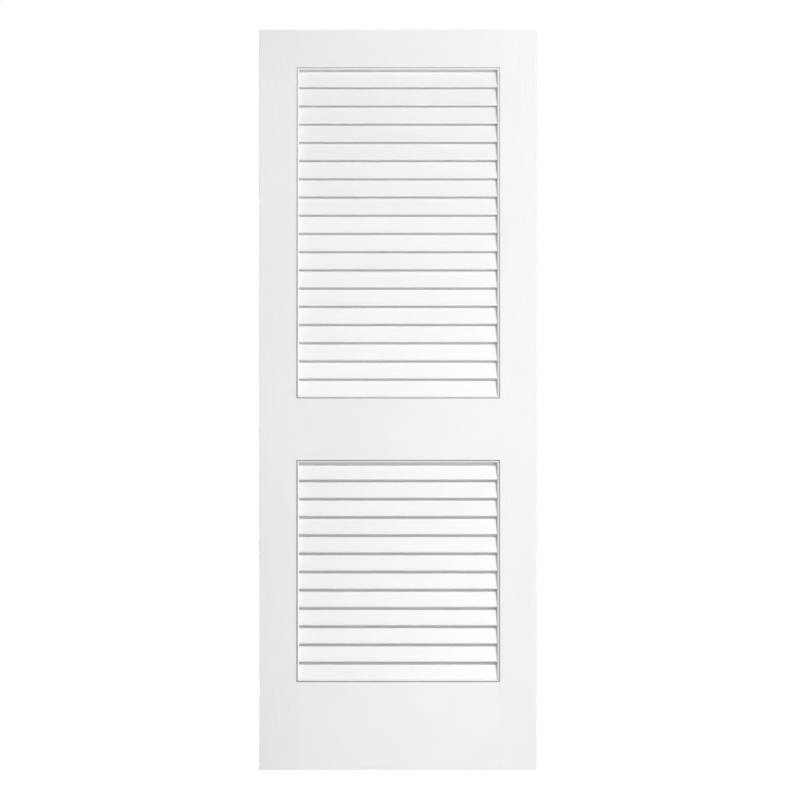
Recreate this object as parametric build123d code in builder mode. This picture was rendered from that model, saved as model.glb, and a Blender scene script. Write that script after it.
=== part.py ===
import os
from math import cos, radians

from build123d import *

# Interior louvered door: two stiles, three rails and two banks of fixed, raked slats.
# Sizes are in millimetres. X runs across the door from its hinge edge, Z runs up from its foot,
# and Y runs through its thickness, with the front face on the negative side.

# Slab
door_width = 762
door_thickness = 35
stile_width = 109
arris_radius = 1.5  # the stiles' outer corners are eased

# Rails
top_rail_height = 110
lock_rail_height = 183.5
bottom_rail_height = 249.2

# Sticking round both openings on both faces: a deep quirk beside the flat face, then a narrow,
# round bead that falls away to the opening
quirk_width = 3.2
quirk_depth = 5
bead_width = 4.3
bead_drop = 0.4  # the bead's crest lies this far below the face
sticking_depth = 4.4  # and its foot, at the opening's edge, this far

# Tenons on the rails' ends, in blind mortises in the stiles
tenon_thickness = 12
tenon_length = 45
tenon_shoulder = 20
glue_gap = 0.2

# Slats, with both long edges fully rounded
slat_width = 55
slat_thickness = 6.5
slat_lean = 20  # degrees from upright, with the lower edge towards the front
slat_pitch = 50
upper_slat_count = 18
lower_slat_count = 12
head_let_in = 4.3  # the top edge of a bank's first slat sits this deep in the rail above
foot_let_in = 3.1  # and the lower edge of its last slat this deep in the rail below

# Tongues on the slats' ends, in raked housings in the stiles
tongue_width = 42
tongue_length = 10
slat_clearance = 0.15  # round the tongues and the let-in edges

# Worked out from the sizes above
half_thickness = door_thickness / 2
sticking_width = bead_width + quirk_width
core_half = half_thickness - sticking_depth
crest_half = half_thickness - bead_drop
bead_fall = sticking_depth - bead_drop
bead_radius = (bead_width**2 + bead_fall**2) / (2 * bead_fall)  # level at the crest
opening_width = door_width - 2 * stile_width
slat_tilt = 90 - slat_lean
slat_rise = (slat_width - slat_thickness) * cos(radians(slat_lean)) + slat_thickness


def opening_height(slat_count):
    return (slat_count - 1) * slat_pitch + slat_rise - head_let_in - foot_let_in


lower_opening_foot = bottom_rail_height
lower_opening_head = lower_opening_foot + opening_height(lower_slat_count)
upper_opening_foot = lower_opening_head + lock_rail_height
upper_opening_head = upper_opening_foot + opening_height(upper_slat_count)
door_height = upper_opening_head + top_rail_height
openings = ((lower_opening_foot, lower_opening_head), (upper_opening_foot, upper_opening_head))


def slat_levels(opening_foot, slat_count):
    """Heights of the slats' centre lines in one opening, from its top slat down."""
    lowest = opening_foot - foot_let_in + slat_rise / 2
    return [lowest + slat_pitch * step for step in reversed(range(slat_count))]


upper_levels = slat_levels(upper_opening_foot, upper_slat_count)
lower_levels = slat_levels(lower_opening_foot, lower_slat_count)

# Each rail's foot and height, and each edge of it that looks into an opening, with the way
# that the rail lies from that edge: 1 above it, -1 below it
rails = {
    "top_rail": (upper_opening_head, top_rail_height, [(upper_opening_head, 1)]),
    "lock_rail": (
        lower_opening_head,
        lock_rail_height,
        [(lower_opening_head, 1), (upper_opening_foot, -1)],
    ),
    "bottom_rail": (0, bottom_rail_height, [(lower_opening_foot, -1)]),
}

# Wood that the bead leaves on neither face, in a section whose X runs into the wood from the
# opening's edge and whose Y runs through the thickness. It is cut from the stiles and rails
# beside the openings, and the rails' ends carry it where they are coped over the stiles' beads.
with BuildSketch() as bead_waste:
    middle = core_half + sticking_depth / 2
    with Locations(*[(bead_width / 2, side * middle) for side in (-1, 1)]):
        Rectangle(bead_width, sticking_depth)
    with Locations(*[(bead_width, side * (crest_half - bead_radius)) for side in (-1, 1)]):
        Circle(bead_radius, mode=Mode.SUBTRACT)


def make_hinge_stile():
    """Full-height stile with beads on its inner corners, mortises and raked housings."""
    inner_edge = Plane.YZ.offset(stile_width)
    with BuildPart() as stile:
        with BuildSketch() as outline:
            with Locations((stile_width / 2, 0)):
                Rectangle(stile_width, door_thickness)
            fillet(outline.vertices().group_by(Axis.X)[0], arris_radius)
        extrude(amount=door_height)
        with BuildSketch(Plane((stile_width, 0, 0), x_dir=(-1, 0, 0), z_dir=(0, 0, 1))):
            add(bead_waste.sketch)
        extrude(amount=door_height, mode=Mode.SUBTRACT)

        # The quirk frames each opening, so on the stile it turns in across the bead at both ends
        for side in (-1, 1):
            with BuildSketch(Plane.XZ.offset(side * half_thickness)):
                for foot, head in openings:
                    with Locations((stile_width, (foot + head) / 2)):
                        Rectangle(2 * sticking_width, head - foot + 2 * sticking_width)
                        Rectangle(
                            2 * bead_width, head - foot + 2 * bead_width, mode=Mode.SUBTRACT
                        )
            extrude(amount=-side * quirk_depth, mode=Mode.SUBTRACT)

        with BuildSketch(inner_edge):
            for foot, height, _ in rails.values():
                with Locations((0, foot + height / 2)):
                    Rectangle(
                        tenon_thickness + 2 * glue_gap,
                        height - 2 * tenon_shoulder + 2 * glue_gap,
                    )
        extrude(amount=-(tenon_length + glue_gap), mode=Mode.SUBTRACT)

        with BuildSketch(inner_edge):
            with Locations(*[(0, level) for level in upper_levels + lower_levels]):
                Rectangle(
                    tongue_width + 2 * slat_clearance,
                    slat_thickness + 2 * slat_clearance,
                    rotation=slat_tilt,
                )
        extrude(amount=-(tongue_length + slat_clearance), mode=Mode.SUBTRACT)
    return stile


def make_rail(foot, height, opening_edges):
    """Rail between the stiles, with beads, coped ends and one tenon at each end."""
    with BuildPart() as rail:
        with BuildSketch(Plane.XY.offset(foot)):
            with Locations((door_width / 2, 0)):
                Rectangle(opening_width, door_thickness)
        extrude(amount=height)
        for end, outward in ((stile_width, -1), (door_width - stile_width, 1)):
            with BuildSketch(Plane((end, 0, foot), x_dir=(outward, 0, 0), z_dir=(0, 0, 1))):
                add(bead_waste.sketch)
            extrude(amount=height)

        for edge, inward in opening_edges:
            section = Plane((0, 0, edge), x_dir=(0, 0, inward), z_dir=(1, 0, 0))
            with BuildSketch(section):
                add(bead_waste.sketch)
                for side in (-1, 1):
                    with Locations(
                        (bead_width + quirk_width / 2, side * (half_thickness - quirk_depth / 2))
                    ):
                        Rectangle(quirk_width, quirk_depth)
            extrude(amount=door_width, mode=Mode.SUBTRACT)
            # Groove for the edge of the slat that is let in here
            if inward == 1:
                slat_level = edge + head_let_in - slat_rise / 2
            else:
                slat_level = edge - foot_let_in + slat_rise / 2
            with BuildSketch(Plane.YZ):
                with Locations((0, slat_level)):
                    SlotOverall(
                        slat_width + 2 * slat_clearance,
                        slat_thickness + 2 * slat_clearance,
                        rotation=slat_tilt,
                    )
            extrude(amount=door_width, mode=Mode.SUBTRACT)

        # One bar through the rail's middle leaves a tenon at each end
        with BuildSketch(Plane.YZ.offset(stile_width - tenon_length)):
            with Locations((0, foot + height / 2)):
                Rectangle(tenon_thickness, height - 2 * tenon_shoulder)
        extrude(amount=opening_width + 2 * tenon_length)
    return rail


def make_slat(level):
    """One raked slat: its rounded blade spans the opening and its tongues enter the stiles."""
    with BuildPart() as slat:
        with BuildSketch(Plane.YZ.offset(stile_width)):
            with Locations((0, level)):
                SlotOverall(slat_width, slat_thickness, rotation=slat_tilt)
        extrude(amount=opening_width)
        with BuildSketch(Plane.YZ.offset(stile_width - tongue_length)):
            with Locations((0, level)):
                Rectangle(tongue_width, slat_thickness, rotation=slat_tilt)
        extrude(amount=opening_width + 2 * tongue_length)
    return slat


def save(piece, name):
    piece.part.label = name
    export_step(piece.part, f"parts/{name}.step")


os.makedirs("parts", exist_ok=True)

hinge_stile = make_hinge_stile()
save(hinge_stile, "hinge_stile")

# The lock stile is the hinge stile's mirror image about the door's middle
with BuildPart() as lock_stile:
    mirror(hinge_stile.part, about=Plane.YZ.offset(door_width / 2))
save(lock_stile, "lock_stile")

for rail_name, (rail_foot, rail_height, rail_edges) in rails.items():
    save(make_rail(rail_foot, rail_height, rail_edges), rail_name)

for bank, levels in (("upper", upper_levels), ("lower", lower_levels)):
    for number, slat_level in enumerate(levels, start=1):
        save(make_slat(slat_level), f"{bank}_slat_{number:02d}")

print(f"door {door_width} x {door_thickness} x {door_height:.2f} mm")
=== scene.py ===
# Painted louvered door: fine surfaces, paint, room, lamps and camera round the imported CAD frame.
# Lengths are metres. X runs across the door, Y through it from front to back, and Z up.
import math

import bpy
import numpy as np
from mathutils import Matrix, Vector


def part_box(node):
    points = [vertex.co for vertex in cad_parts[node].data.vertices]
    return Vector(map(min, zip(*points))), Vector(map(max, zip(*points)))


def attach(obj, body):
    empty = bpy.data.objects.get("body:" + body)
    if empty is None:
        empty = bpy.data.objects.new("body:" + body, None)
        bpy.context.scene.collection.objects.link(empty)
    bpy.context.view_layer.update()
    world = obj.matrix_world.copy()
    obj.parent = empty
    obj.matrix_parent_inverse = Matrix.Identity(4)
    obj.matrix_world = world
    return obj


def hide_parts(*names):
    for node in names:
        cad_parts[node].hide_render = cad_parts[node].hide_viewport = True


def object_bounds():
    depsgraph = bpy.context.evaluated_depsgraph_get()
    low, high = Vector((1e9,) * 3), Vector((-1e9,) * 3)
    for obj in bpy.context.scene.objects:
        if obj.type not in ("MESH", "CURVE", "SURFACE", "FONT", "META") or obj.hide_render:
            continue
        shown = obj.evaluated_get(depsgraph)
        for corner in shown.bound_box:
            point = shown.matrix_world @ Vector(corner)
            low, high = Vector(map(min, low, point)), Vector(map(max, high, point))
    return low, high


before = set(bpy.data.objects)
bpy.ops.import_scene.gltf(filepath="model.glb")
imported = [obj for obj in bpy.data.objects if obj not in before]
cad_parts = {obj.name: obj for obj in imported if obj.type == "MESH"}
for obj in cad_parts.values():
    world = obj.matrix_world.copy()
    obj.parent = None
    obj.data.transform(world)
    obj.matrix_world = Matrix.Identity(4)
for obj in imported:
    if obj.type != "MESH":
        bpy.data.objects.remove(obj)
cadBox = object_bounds()
print("frame loaded:", len(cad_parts), "pieces")

# From the CAD's boxes: each opening's foot and head, and the slab's main planes
openings = {
    "lower": (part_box("bottom_rail")[1][2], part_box("lock_rail")[0][2]),
    "upper": (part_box("lock_rail")[1][2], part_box("top_rail")[0][2]),
}
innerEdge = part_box("hinge_stile")[1][0]
middle = (cadBox[0][0] + cadBox[1][0]) / 2
doorTop = cadBox[1][2]
halfDepth = cadBox[1][1]

skin = {  # for the surface of every piece
    "flatStrip": 0.0005,  # beyond each eased edge, so that the face past it shades flat
    "weldSteps": 1e7,  # to the metre: points on the same step in X, Y and Z are one
    "sharpAngle": math.radians(38),
}
joint = {"width": 0.00025, "depth": 0.00008}  # hairline on each side, where a rail meets a stile
sticking = {  # the moulding round the openings, as the solids have it, its edges softened by paint
    "beadWidth": 0.0043,
    "beadDrop": 0.0004,  # crest of the bead below the face
    "footDepth": 0.0044,  # foot of the bead below the face
    "quirkWidth": 0.0032,
    "quirkDepth": 0.0050,
    "crestEase": 0.0002,
    "cornerEase": 0.0003,  # in the bottom of the quirk
    "faceEase": 0.0004,  # where the quirk meets the face
    "draft": 0.00002,  # the quirk's walls lean out by this much
    "beadSteps": 14,
    "easeSteps": 4,
}
quirkShade = {  # painted shade: the bottom of each quirk darkened in the colour
    "depths": (0.0006, 0.0030),  # none at the first depth, full at the second
    "heights": (0.85, 1.93),  # the painted shade weakens up the door between these levels
    "strengths": (1.0, 0.25),  # from the first of them to the second
    "pieces": {  # the painted shade is darker on some pieces than on others
        "hinge_stile": 1.3,
        "lock_stile": 0.83,
        "top_rail": 0.75,
        "lock_rail": 0.75,
        "bottom_rail": 0.75,
    },
}
wear = {  # thin paint on the moulding's sharp edges
    "crestReach": 1.5,  # as a share of the crest's eased width
    "depth": 0.001,  # only this near the face
}
pieceToneAndPaintedLight = {  # how light each piece is, from 0 to 1: mostly painted light and shade, with the upper slats lighter, the lower ones darker and the hinge stile darker than the lock stile
    "hinge_stile": 0.24,
    "lock_stile": 0.34,
    "top_rail": 0.28,
    "lock_rail": 0.34,
    "bottom_rail": 0.42,
    "upper": 0.78,  # upper bank's slats, painted lighter, each a little off this at random
    "lower": 0.12,
    "slatRange": 0.12,
    "seed": 11,
}


def easedEdge(radius, steps):
    # A quarter circle from an end face to a side face, and a flat strip beyond it: how far along
    # the side each point lies, and how deep under it
    turn = np.linspace(0, math.pi / 2, steps)
    along = np.append(radius * (1 - np.cos(turn)), radius + skin["flatStrip"])
    return along, np.append(radius * (1 - np.sin(turn)), 0.0)


def stickingProfile():
    # The moulding's section, as distance from the opening and depth under the face: a circle's arc
    # up the bead, the crest's eased edge, the quirk's two rounded corners with a leaning wall
    # before and after them, and its eased edge in the face
    bead, quirk = sticking["beadWidth"], sticking["quirkWidth"]
    drop, bottom, draft = sticking["beadDrop"], sticking["quirkDepth"], sticking["draft"]
    crest, corner = sticking["crestEase"], sticking["cornerEase"]
    fall = sticking["footDepth"] - drop
    radius = (bead**2 + fall**2) / (2 * fall)
    arc = np.linspace(math.asin(bead / radius), math.asin(crest / radius), sticking["beadSteps"])
    turn = np.linspace(0, math.pi / 2, sticking["easeSteps"])
    faceAlong, faceUnder = easedEdge(sticking["faceEase"], sticking["easeSteps"])
    away = [
        bead - radius * np.sin(arc),
        bead - crest + crest * np.sin(turn[1:]),
        bead + draft + corner * (1 - np.cos(turn)),
        bead + quirk - draft - corner * (1 - np.cos(turn[::-1])),
        bead + quirk + faceAlong,
    ]
    depth = [
        drop + radius * (1 - np.cos(arc)),
        drop + crest * (1 - np.cos(turn[1:])),
        bottom - corner + corner * np.sin(turn),
        bottom - corner + corner * np.sin(turn[::-1]),
        faceUnder,
    ]
    return np.concatenate(away), np.concatenate(depth)


profileAway, profileDepth = stickingProfile()
beadEdge = sticking["beadWidth"]  # distances from the opening to both sides of the quirk
quirkEdge = beadEdge + sticking["quirkWidth"]


def quirkShadeAt(node, away, depth, level):
    # Painted shade: full in the bottom of the quirk, fading up its walls and up the door
    inside = (away >= beadEdge) & (away <= quirkEdge)
    deep = np.interp(depth, quirkShade["depths"], (0, 1))
    fade = np.interp(level, quirkShade["heights"], quirkShade["strengths"])
    return np.minimum(quirkShade["pieces"][node] * inside * deep * fade, 1)


def wearAt(away, depth):
    # 1 on the crest's edge and on the quirk's edge in the face, 0 elsewhere
    onCrest = (away > beadEdge - wear["crestReach"] * sticking["crestEase"]) & (away <= beadEdge)
    onFace = (away >= quirkEdge) & (away < quirkEdge + sticking["faceEase"])
    return ((onCrest | onFace) & (depth < wear["depth"])).astype(float)


def hairline(distance):
    # How much narrower the piece gets towards its joint, as a share of its thickness
    return joint["depth"] / halfDepth * np.clip(1 - distance / joint["width"], 0, 1)


def toBothEnds(left):
    # Stations at the left end, then their mirror images at the right end
    return np.concatenate([left, 2 * middle - left[::-1]])


def makeSurface(name, rows, values, slant=None):
    # A closed skin over a grid of points: triangles join each row to the next, round the loop that
    # a row makes, and one face closes each end. Where slant is true a square is cut from its first
    # to its third corner, and elsewhere the other way. Points that coincide become one.
    grid = rows.shape[:2]
    points = rows.reshape(-1, 3)
    keys = np.round(points * skin["weldSteps"]).astype(np.int64)
    first, index = np.unique(keys, axis=0, return_index=True, return_inverse=True)[1:]
    points, index = points[first], index.reshape(grid)

    a, b = index[:-1], np.roll(index, -1, axis=1)[:-1]
    d, c = index[1:], np.roll(index, -1, axis=1)[1:]
    if slant is None:
        slant = np.ones(a.shape, bool)
    halves = [[a, b, np.where(slant, c, d)], [np.where(slant, a, b), c, d]]
    triangles = np.concatenate([np.stack(half, axis=-1).reshape(-1, 3) for half in halves])
    x, y, z = triangles.T
    triangles = triangles[(x != y) & (y != z) & (z != x)]
    ends = [loop[loop != np.roll(loop, 1)] for loop in (index[0][::-1], index[-1])]

    # A skin that is inside out has a negative volume, and is turned round
    corners = points[triangles]
    if np.sum(corners[:, 0] * np.cross(corners[:, 1], corners[:, 2])) < 0:
        triangles = triangles[:, ::-1]
        ends = [loop[::-1] for loop in ends]

    mesh = bpy.data.meshes.new(name)
    mesh.from_pydata(points.tolist(), [], triangles.tolist() + [loop.tolist() for loop in ends])
    for label, value in values.items():
        layer = mesh.attributes.new(label, "FLOAT", "POINT")
        carried = np.broadcast_to(value, grid).reshape(-1)[first]
        layer.data.foreach_set("value", carried.astype(np.float32))
    mesh.shade_smooth()
    mesh.set_sharp_from_angle(angle=skin["sharpAngle"])
    piece = bpy.data.objects.new(name, mesh)
    bpy.context.collection.objects.link(piece)
    return piece


def settle(piece, node, material):
    piece.data.materials.append(material)
    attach(piece, "root")
    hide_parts(node)


stile = {
    "arris": 0.0015,  # radius of the outer corners
    "arrisSteps": 8,
    "endEase": 0.0005,
    "endSteps": 5,
}


def frontAndBack(front, back):
    # A loop that crosses the front face and comes back over the back face
    return np.concatenate([front, back[:, ::-1]], axis=1)


def makeStile(name, node):
    # Columns run from the outer arris to the inner edge, rows from foot to top, both with a line at
    # every point of the sticking's section. Depth is the section taken at the larger of a point's
    # two distances from the opening, so the quirk turns its corners square and the bead is mitred.
    # Beside the rails the columns of the bead fall together on the joint.
    edgeX, edgeDepth = easedEdge(stile["arris"], stile["arrisSteps"])
    columnAway = np.concatenate([innerEdge - edgeX, profileAway[::-1]])
    columnEdge = np.concatenate([edgeDepth, np.zeros(len(profileAway))])

    rise, shrink = easedEdge(stile["endEase"], stile["endSteps"])
    levels = [rise]
    for foot, head in openings.values():
        levels += [foot - profileAway[::-1], head + profileAway]
    levels = np.concatenate(levels + [doorTop - rise[::-1]])
    inset = np.zeros(len(levels))
    inset[: len(rise)] = shrink
    inset[-len(rise) :] = shrink[::-1]

    # How far each row lies past the nearest opening, to a nanometre, and 0 beside an opening
    beyond = [np.abs(levels - (f + h) / 2) - (h - f) / 2 for f, h in openings.values()]
    past = np.maximum(np.round(np.min(beyond, axis=0), 9), 0)[:, None]
    mitre = np.minimum(past, beadEdge)
    aside = np.maximum(columnAway[None, :], mitre)
    reach = np.maximum(aside, past)
    depth = np.maximum(np.interp(reach, profileAway, profileDepth), columnEdge[None, :])
    half = (halfDepth - depth) * (1 - np.where(past > 0, hairline(aside - mitre), 0))
    half = half - inset[:, None]
    x = innerEdge - aside
    x = x + inset[:, None] * (1 - 2 * x / innerEdge)
    z = np.broadcast_to(levels[:, None], x.shape)
    rows = frontAndBack(np.stack([x, -half, z], axis=-1), np.stack([x, half, z], axis=-1))

    # A square on the mitre is cut along it: one way above a foot, the other below it, and the
    # other way round on the back
    rising = (np.diff(past[:, 0]) > 0)[:, None]
    isBack = (np.arange(rows.shape[1]) >= len(columnAway))[None, :]
    if node == "lock_stile":
        rows = rows * (-1, 1, 1) + (2 * middle, 0, 0)

    # painted shade in the quirks
    quirkShaded = quirkShadeAt(node, reach, depth, z)
    onArris = (columnEdge > 0) & (columnEdge < stile["arris"])
    worn = np.maximum(wearAt(reach, depth), onArris[None, :])
    values = {
        "quirkShade": frontAndBack(quirkShaded, quirkShaded),
        "wear": frontAndBack(worn, worn),
        # painted light and shade for the whole piece, with a little tone
        "toneAndPaintedLight": pieceToneAndPaintedLight[node],
    }
    return makeSurface(name, rows, values, rising == isBack)


slat = {
    "width": 0.055,
    "thickness": 0.0065,
    "lean": math.radians(20),
    "clearance": 0.00015,  # in the groove of a rail
    "fillet": 0.0005,  # paint in the corner between a slat's end and the stile
    "filletFade": 0.001,  # height over which it ends beside a rail
    "filletSteps": 6,
    "arcSteps": 19,
}
axisReach = (slat["width"] - slat["thickness"]) / 2  # from a slat's middle to its edge's centre
edgeTurn = np.linspace(-math.pi / 2, math.pi / 2, slat["arcSteps"])
leanSin, leanCos = math.sin(slat["lean"]), math.cos(slat["lean"])


def leaned(axis, side, level):
    # From distances along a slat's width and through it to Y and Z
    return axis * leanSin + side * leanCos, level + axis * leanCos - side * leanSin


def slatLevel(node):
    low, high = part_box(node)
    return (low[2] + high[2]) / 2


def groove(edge, level, up):
    # Points across a rail's edge, from its front to its back: the flat, and between its two
    # crossings the outline of the slat's rounded edge with the clearance round it
    radius = slat["thickness"] / 2 + slat["clearance"]
    axis = np.concatenate([[-radius], radius * np.cos(edgeTurn), [-radius]])
    side = radius * np.concatenate([[-1], np.sin(edgeTurn), [1]])
    y, z = leaned(up * (axisReach + axis), side, level)
    inside = (z - edge) * up > 0
    start, stop = np.argmax(inside), len(inside) - np.argmax(inside[::-1])
    share = (edge - z[start - 1]) / (z[start] - z[start - 1])
    enter = y[start - 1] + share * (y[start] - y[start - 1])
    share = (edge - z[stop]) / (z[stop - 1] - z[stop])
    leave = y[stop] + share * (y[stop - 1] - y[stop])
    return (
        np.concatenate([[enter], y[start:stop], [leave]]),
        np.concatenate([[edge], z[start:stop], [edge]]),
    )


rail = {
    "endEase": 0.0005,  # on the edges at the door's top and foot
    "endSteps": 5,
    "stations": (0.0, 0.00008, 0.00016, 0.00025, 0.0006),  # from the joint: hairline, flat strip
    "noOpening": 1.0,  # distance that stands for an edge with no opening beside it
}


def railEdge(moulded):
    # Distance from the rail's edge, depth under the face, and distance from the opening
    if moulded:
        return profileAway, profileDepth, profileAway
    rise, under = easedEdge(rail["endEase"], rail["endSteps"])
    return rise, under, np.full(len(rise), rail["noOpening"])


def railGroove(edge, slatInIt, up):
    if slatInIt:
        return groove(edge, slatLevel(slatInIt), up)
    return np.array([]), np.array([])


def makeRail(name, node, slatBelow, slatAbove):
    # One section carried across the door: up the front, over, down the back and under. Each end is
    # cut to the mitre along the bead and square beyond it.
    low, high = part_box(node)[0][2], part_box(node)[1][2]
    lowRise, lowDepth, lowAway = railEdge(slatBelow)
    highRise, highDepth, highAway = railEdge(slatAbove)
    z = np.concatenate([low + lowRise, high - highRise[::-1]])
    depth = np.concatenate([lowDepth, highDepth[::-1]])
    away = np.concatenate([lowAway, highAway[::-1]])
    front = depth - halfDepth
    overY, overZ = railGroove(high, slatAbove, -1)
    underY, underZ = railGroove(low, slatBelow, 1)

    def allRound(values):
        # The same up the front and down the back, and 0 over and under
        return np.concatenate([values, 0 * overY, values[::-1], 0 * underY])

    loopY = np.concatenate([front, overY, -front[::-1], underY[::-1]])
    loopZ = np.concatenate([z, overZ, z[::-1], underZ[::-1]])
    offsets = np.array(rail["stations"])
    end = innerEdge - np.minimum(allRound(away), beadEdge)
    x = toBothEnds(end[None, :] + offsets[:, None])
    squeeze = 1 - hairline(np.concatenate([offsets, offsets[::-1]]))[:, None]
    rows = np.stack([x, loopY * squeeze, np.broadcast_to(loopZ, x.shape)], axis=-1)
    values = {
        # painted shade in the quirks
        "quirkShade": allRound(quirkShadeAt(node, away, depth, z)),
        "wear": allRound(wearAt(away, depth)),
        # painted light and shade for the whole piece, with a little tone
        "toneAndPaintedLight": pieceToneAndPaintedLight[node],
    }
    return makeSurface(name, rows, values)


def makeSlat(name, node, foot, head, toneAndPaintedLight):
    # A stadium section, leaning, carried from stile to stile. Towards each end it swells along a
    # small hollow quarter circle, as paint does in a corner, but not where it is let into a rail.
    flat = axisReach - skin["flatStrip"]
    outAxis = np.concatenate([np.cos(edgeTurn), [0, 0]])
    outSide = np.concatenate([np.sin(edgeTurn), [1, 1]])
    radius = slat["thickness"] / 2
    axis = np.concatenate([axisReach + radius * np.cos(edgeTurn), [flat, -flat]])
    outAxis, axis = np.concatenate([outAxis, -outAxis]), np.concatenate([axis, -axis])
    outSide = np.concatenate([outSide, -outSide])
    y, z = leaned(axis, radius * outSide, slatLevel(node))
    outY, outZ = leaned(outAxis, outSide, 0)

    offsets, swell = easedEdge(slat["fillet"], slat["filletSteps"])
    fade = slat["filletFade"]
    free = np.interp(z, (foot, foot + fade), (0, 1)) * np.interp(z, (head - fade, head), (1, 0))
    out = np.concatenate([swell, swell[::-1]])[:, None] * free[None, :]
    x = np.broadcast_to(toBothEnds(innerEdge + offsets)[:, None], out.shape)
    rows = np.stack([x, y + out * outY, z + out * outZ], axis=-1)
    return makeSurface(name, rows, {"quirkShade": 0.0, "wear": 0.0, "toneAndPaintedLight": toneAndPaintedLight})


def addNode(tree, kind, inputs=None, **settings):
    node = tree.nodes.new(kind)
    for key, value in settings.items():
        setattr(node, key, value)
    for key, value in (inputs or {}).items():
        node.inputs[key].default_value = value
    return node


def wire(tree, source, target):
    tree.links.new(source, target)


def mathNode(tree, operation, *terms):
    # Numbers go on the sockets and sockets are wired in
    node = addNode(tree, "ShaderNodeMath", operation=operation)
    for socket, term in zip(node.inputs, terms):
        if isinstance(term, (int, float)):
            socket.default_value = term
        else:
            wire(tree, term, socket)
    return node.outputs[0]


def mapRange(tree, value, source, target):
    (low, high), (start, stop) = source, target
    inputs = {"From Min": low, "From Max": high, "To Min": start, "To Max": stop}
    node = addNode(tree, "ShaderNodeMapRange", inputs)
    wire(tree, value, node.inputs["Value"])
    return node.outputs["Result"]


def mixColours(tree, share, first, second):
    # Of the sockets called A, B and Result, the numbered ones are those for colours
    node = addNode(tree, "ShaderNodeMix", data_type="RGBA")
    wire(tree, share, node.inputs["Factor"])
    for socket, colour in ((node.inputs[6], first), (node.inputs[7], second)):
        if isinstance(colour, tuple):
            socket.default_value = colour
        else:
            wire(tree, colour, socket)
    return node.outputs[2]


def noise(tree, place, grainAxis, across, along, detail, roughness):
    # Noise with a scale of its own along the grain, which draws it out
    scale = [across, across, across]
    scale[grainAxis] = along
    stretch = addNode(tree, "ShaderNodeMapping", {"Scale": scale})
    wire(tree, place, stretch.inputs["Vector"])
    inputs = {"Scale": 1.0, "Detail": detail, "Roughness": roughness}
    node = addNode(tree, "ShaderNodeTexNoise", inputs)
    wire(tree, stretch.outputs["Vector"], node.inputs["Vector"])
    return node.outputs["Fac"]


def bump(tree, height, distance, under=None):
    node = addNode(tree, "ShaderNodeBump", {"Strength": 1.0, "Distance": distance})
    wire(tree, height, node.inputs["Height"])
    if under:
        wire(tree, under, node.inputs["Normal"])
    return node.outputs["Normal"]


paint = {
    "light": (0.838, 0.857, 0.834, 1),  # linear, where the coat lies thick
    "dark": (0.794, 0.815, 0.791, 1),  # where it lies thin over the grain
    "paintedShade": (0.36, 0.37, 0.35, 1),  # painted shade in the bottom of the quirks
    "thin": (0.74, 0.745, 0.715, 1),  # undercoat that shows through on worn edges
    "toneSpan": 0.08,  # from the darkest piece to the lightest, as a share: the span of each piece's painted light and tone
    "shift": 3.0,  # how far a piece's place in the wood moves for one unit of its tone
    "brushTone": 0.40,  # parts of brush lines and rings in the tone, beside the slow drift
    "ringTone": 0.10,
    "toneRange": (0.45, 1.05),  # of their sum, from the dark coat to the light one
    "roughness": (0.34, 0.46),
    "glossRange": (0.3, 0.7),  # of the brush lines, from the first roughness to the second
    "ringTurns": 26.0,  # growth rings from the lowest to the highest value of the arches
    "ringPower": 0.6,  # under 1 narrows a ring's dark line
    "noises": {  # scales per metre across the grain and along it
        "brush": {"across": 520.0, "along": 5.0, "detail": 4.0, "roughness": 0.62},
        "pores": {"across": 1500.0, "along": 45.0, "detail": 2.0, "roughness": 0.5},
        "peel": {"across": 900.0, "along": 900.0, "detail": 2.0, "roughness": 0.5},
        "drift": {"across": 2.6, "along": 2.6, "detail": 3.0, "roughness": 0.55},
        "arches": {"across": 62.0 / 9, "along": 1.3, "detail": 2.0, "roughness": 0.45},
        "patches": {"across": 60.0, "along": 60.0, "detail": 4.0, "roughness": 0.7},
    },
    "depths": {"rings": 0.00016, "pores": 0.00004, "peel": 0.00002, "brush": 0.00008},
}


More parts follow.
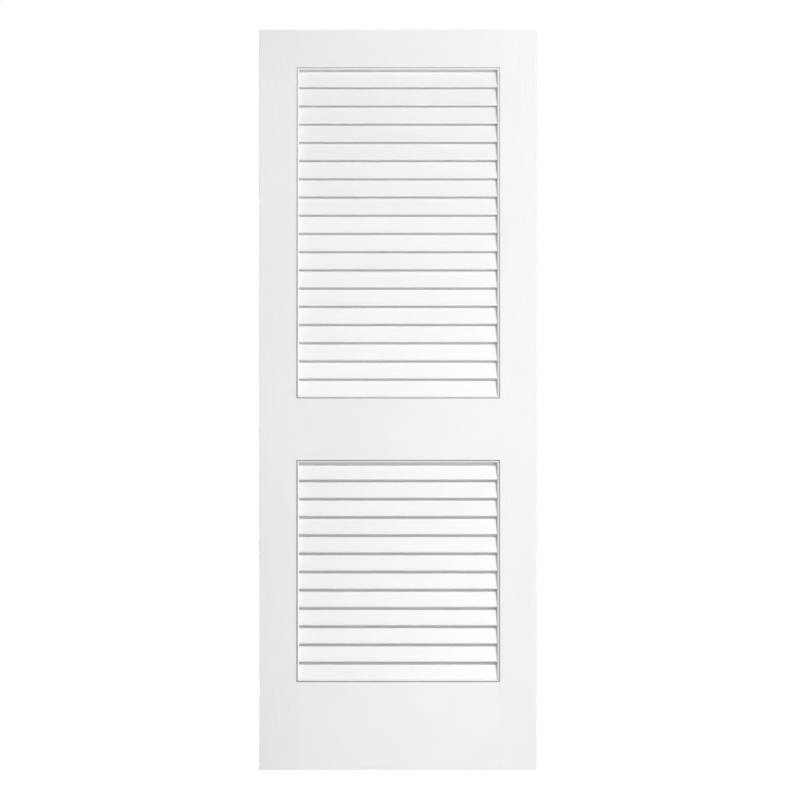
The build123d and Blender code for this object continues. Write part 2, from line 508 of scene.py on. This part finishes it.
def paintMaterial(name, grainAxis):
    # Satin paint over softwood: noise drawn out along the grain gives brush lines, pores and growth
    # rings, round noise gives the peel, and slow noise lets the tone drift. From the mesh come each
    # piece's painted light and shade with a little tone, painted shade in the quirks, and wear.
    material = bpy.data.materials.new(name)
    material.use_nodes = True
    tree = material.node_tree
    tree.nodes.clear()
    output = addNode(tree, "ShaderNodeOutputMaterial")
    shader = addNode(tree, "ShaderNodeBsdfPrincipled")
    wire(tree, shader.outputs["BSDF"], output.inputs["Surface"])
    carried = {
        label: addNode(tree, "ShaderNodeAttribute", attribute_name=label).outputs["Fac"]
        for label in ("toneAndPaintedLight", "quirkShade", "wear")
    }
    # Each piece is cut from another place in the wood
    moved = addNode(tree, "ShaderNodeVectorMath", operation="ADD")
    wire(tree, addNode(tree, "ShaderNodeTexCoord").outputs["Object"], moved.inputs[0])
    wire(tree, mathNode(tree, "MULTIPLY", carried["toneAndPaintedLight"], paint["shift"]), moved.inputs[1])
    heights = {
        label: noise(tree, moved.outputs[0], grainAxis, **scales)
        for label, scales in paint["noises"].items()
    }
    # Growth rings: contour lines of a slow drawn-out noise, so they close in long arches. Within
    # each turn the height rises to the middle and falls again.
    turns = mathNode(tree, "MULTIPLY", heights["arches"], paint["ringTurns"])
    turns = mathNode(tree, "PINGPONG", mathNode(tree, "FRACT", turns), 0.5)
    heights["rings"] = mathNode(tree, "POWER", turns, paint["ringPower"])

    tone = mathNode(tree, "MULTIPLY_ADD", heights["brush"], paint["brushTone"], heights["drift"])
    tone = mathNode(tree, "MULTIPLY_ADD", heights["rings"], paint["ringTone"], tone)
    share = mapRange(tree, tone, paint["toneRange"], (0.0, 1.0))
    coat = mixColours(tree, share, paint["dark"], paint["light"])
    span = paint["toneSpan"]
    # painted light and shade: each piece's coat made lighter or darker as a whole
    lightness = mathNode(tree, "MULTIPLY_ADD", carried["toneAndPaintedLight"], span, 1 - span / 2)
    toned = addNode(tree, "ShaderNodeVectorMath", operation="SCALE")
    wire(tree, coat, toned.inputs[0])
    wire(tree, lightness, toned.inputs["Scale"])
    # painted shade: the coat darkened in the bottom of the quirks
    coat = mixColours(tree, carried["quirkShade"], toned.outputs[0], paint["paintedShade"])
    worn = mathNode(tree, "MULTIPLY", carried["wear"], heights["patches"])
    coat = mixColours(tree, worn, coat, paint["thin"])
    wire(tree, coat, shader.inputs["Base Color"])

    gloss = mapRange(tree, heights["brush"], paint["glossRange"], paint["roughness"])
    wire(tree, gloss, shader.inputs["Roughness"])
    normal = None
    for label, distance in paint["depths"].items():
        normal = bump(tree, heights[label], distance, normal)
    wire(tree, normal, shader.inputs["Normal"])
    return material


stilePaint = paintMaterial("stilePaint", 2)  # grain along Z
railPaint = paintMaterial("railPaint", 0)  # grain along X
slatPaint = paintMaterial("slatPaint", 0)
for node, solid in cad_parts.items():
    solid.data.materials.clear()
    solid.data.materials.append(
        stilePaint if node.endswith("stile") else railPaint if node.endswith("rail") else slatPaint
    )

settle(makeStile("hingeStileWood", "hinge_stile"), "hinge_stile", stilePaint)
settle(makeStile("lockStileWood", "lock_stile"), "lock_stile", stilePaint)
print("stiles made")

rails = {  # each with the slat that is let into it from below and from above
    "top_rail": ("topRailWood", "upper_slat_01", None),
    "lock_rail": ("lockRailWood", "lower_slat_01", "upper_slat_18"),
    "bottom_rail": ("bottomRailWood", None, "lower_slat_12"),
}
for node, (name, slatBelow, slatAbove) in rails.items():
    settle(makeRail(name, node, slatBelow, slatAbove), node, railPaint)
print("rails made")

slatCounts = {"upper": 18, "lower": 12}
tones = np.random.default_rng(pieceToneAndPaintedLight["seed"])
for bank, count in slatCounts.items():
    foot, head = openings[bank]
    for number in range(1, count + 1):
        node = f"{bank}_slat_{number:02d}"
        # painted light: the upper bank lighter, the lower darker, each slat a little off at random
        toneAndPaintedLight = pieceToneAndPaintedLight[bank] + pieceToneAndPaintedLight["slatRange"] * (tones.random() - 0.5)
        piece = makeSlat(f"{bank}Slat{number:02d}Wood", node, foot, head, toneAndPaintedLight)
        settle(piece, node, slatPaint)
print("slats made")

room = {
    "floorSize": 40.0,
    "floorColour": (0.55, 0.55, 0.55, 1),
    "floorLift": (0.78, 1.0),  # white that only the camera and reflections see, near and far
    "floorLiftReach": (2.0, 5.0),  # from the door's foot, so that its shadow shows
    "skyLevel": 0.285,  # light that the white sky gives the object
}


def seenDirectly(tree):
    # 1 for camera, glossy and transmission rays, 0 for the rays that light the object
    rays = addNode(tree, "ShaderNodeLightPath").outputs
    seen = mathNode(tree, "MAXIMUM", rays["Is Camera Ray"], rays["Is Glossy Ray"])
    return mathNode(tree, "MAXIMUM", seen, rays["Is Transmission Ray"])


def makeFloor():
    half = room["floorSize"] / 2
    corners = [(-half, -half, 0), (half, -half, 0), (half, half, 0), (-half, half, 0)]
    mesh = bpy.data.meshes.new("floor")
    mesh.from_pydata(corners, [], [(0, 1, 2, 3)])
    floor = bpy.data.objects.new("floor", mesh)
    bpy.context.collection.objects.link(floor)
    material = bpy.data.materials.new("floorWhite")
    material.use_nodes = True
    tree = material.node_tree
    tree.nodes.clear()
    output = addNode(tree, "ShaderNodeOutputMaterial")
    matt = addNode(tree, "ShaderNodeBsdfDiffuse", {"Color": room["floorColour"]})
    lift = addNode(tree, "ShaderNodeEmission", {"Color": (1, 1, 1, 1)})
    spot = addNode(tree, "ShaderNodeVectorMath", operation="DISTANCE")
    wire(tree, addNode(tree, "ShaderNodeTexCoord").outputs["Object"], spot.inputs[0])
    spot.inputs[1].default_value = (middle, 0, 0)
    white = mapRange(tree, spot.outputs["Value"], room["floorLiftReach"], room["floorLift"])
    wire(tree, mathNode(tree, "MULTIPLY", seenDirectly(tree), white), lift.inputs["Strength"])
    both = addNode(tree, "ShaderNodeAddShader")
    wire(tree, matt.outputs[0], both.inputs[0])
    wire(tree, lift.outputs[0], both.inputs[1])
    wire(tree, both.outputs[0], output.inputs["Surface"])
    mesh.materials.append(material)


def makeSky():
    world = bpy.data.worlds.new("studio")
    bpy.context.scene.world = world
    world.use_nodes = True
    tree = world.node_tree
    tree.nodes.clear()
    output = addNode(tree, "ShaderNodeOutputWorld")
    background = addNode(tree, "ShaderNodeBackground", {"Color": (1, 1, 1, 1)})
    level = mapRange(tree, seenDirectly(tree), (0.0, 1.0), (room["skyLevel"], 1.0))
    wire(tree, level, background.inputs["Strength"])
    wire(tree, background.outputs[0], output.inputs["Surface"])


makeFloor()
makeSky()

lamps = {
    # high on the right: the clean shadow lines under the slats' lips; it is turned down, so
    # that its edge light reaches the door's top and its full light the foot
    "key": {
        "at": (1.92, -4.7, 3.4),
        "aim": (0.55, -3.55, -1.8),
        "size": (0.4, 0.4),
        "watts": 265.0,
    },
    # broad and low on the right: the slow fall of light from right to left
    "side": {"at": (2.6, -3.4, 0.9), "aim": (0.381, 0.0, 0.9), "size": (1.4, 1.4), "watts": 24.5},
    # a strip near the floor, so that the bottom rail keeps up with the stiles above it
    "foot": {"at": (0.44, -0.5, 0.1), "aim": (0.44, 0.0, 0.1), "size": (0.9, 0.12), "watts": 0.2},
    # beside the door and a little behind it, for the lock edge
    "edge": {"at": (4.5, 0.6, 1.0), "aim": (0.762, 0.0, 1.0), "size": (0.8, 0.8), "watts": 38.0},
    # broad and low behind, for the back and the hinge edge
    "back": {"at": (-2.2, 4.2, 1.1), "aim": (0.381, 0.0, 1.0), "size": (2.2, 2.2), "watts": 160.0},
    # high behind, for the top end
    "top": {"at": (0.381, 1.7, 4.0), "aim": (0.381, 0.1, 2.0), "size": (0.8, 0.8), "watts": 28.0},
}
firstHitOnly = ("edge", "back", "top")  # lamps whose light isn't passed on between the slats
firstHitDepth = 1.5  # the first surface is lit at ray depths 0 and 1, and others at more

for name, lamp in lamps.items():
    light = bpy.data.lights.new(name, "AREA")
    light.shape = "ELLIPSE"
    light.size, light.size_y = lamp["size"]
    light.energy = lamp["watts"]
    holder = bpy.data.objects.new(name, light)
    holder.visible_camera = False
    if name in firstHitOnly:
        light.use_nodes = True
        light.cycles.use_multiple_importance_sampling = False
        tree = light.node_tree
        depth = addNode(tree, "ShaderNodeLightPath").outputs["Ray Depth"]
        strength = mathNode(tree, "LESS_THAN", depth, firstHitDepth)
        wire(tree, strength, tree.nodes["Emission"].inputs["Strength"])
    holder.location = lamp["at"]
    direction = Vector(lamp["aim"]) - Vector(lamp["at"])
    holder.rotation_euler = direction.to_track_quat("-Z", "Y").to_euler()
    bpy.context.collection.objects.link(holder)

view = {
    "centre": (0.3862, 1.016),  # X and Z of the point on the front face in the picture's middle
    "distance": 14.0,  # from the front face
    "frameWidth": 2.196,  # across the picture at the front face
    "sensor": 36.0,  # millimetres
    "clipEnd": 100.0,
}
camera = bpy.data.cameras.new("camera")
camera.sensor_width = view["sensor"]
camera.lens = view["sensor"] * view["distance"] / view["frameWidth"]
camera.clip_end = view["clipEnd"]
cameraHolder = bpy.data.objects.new("camera", camera)
cameraHolder.location = (
    view["centre"][0],
    cadBox[0][1] - view["distance"],
    view["centre"][1],
)
cameraHolder.rotation_euler = (math.pi / 2, 0, 0)
bpy.context.collection.objects.link(cameraHolder)
bpy.context.scene.camera = cameraHolder
bpy.context.scene.view_settings.view_transform = "Standard"
print("room, lamps and camera ready")
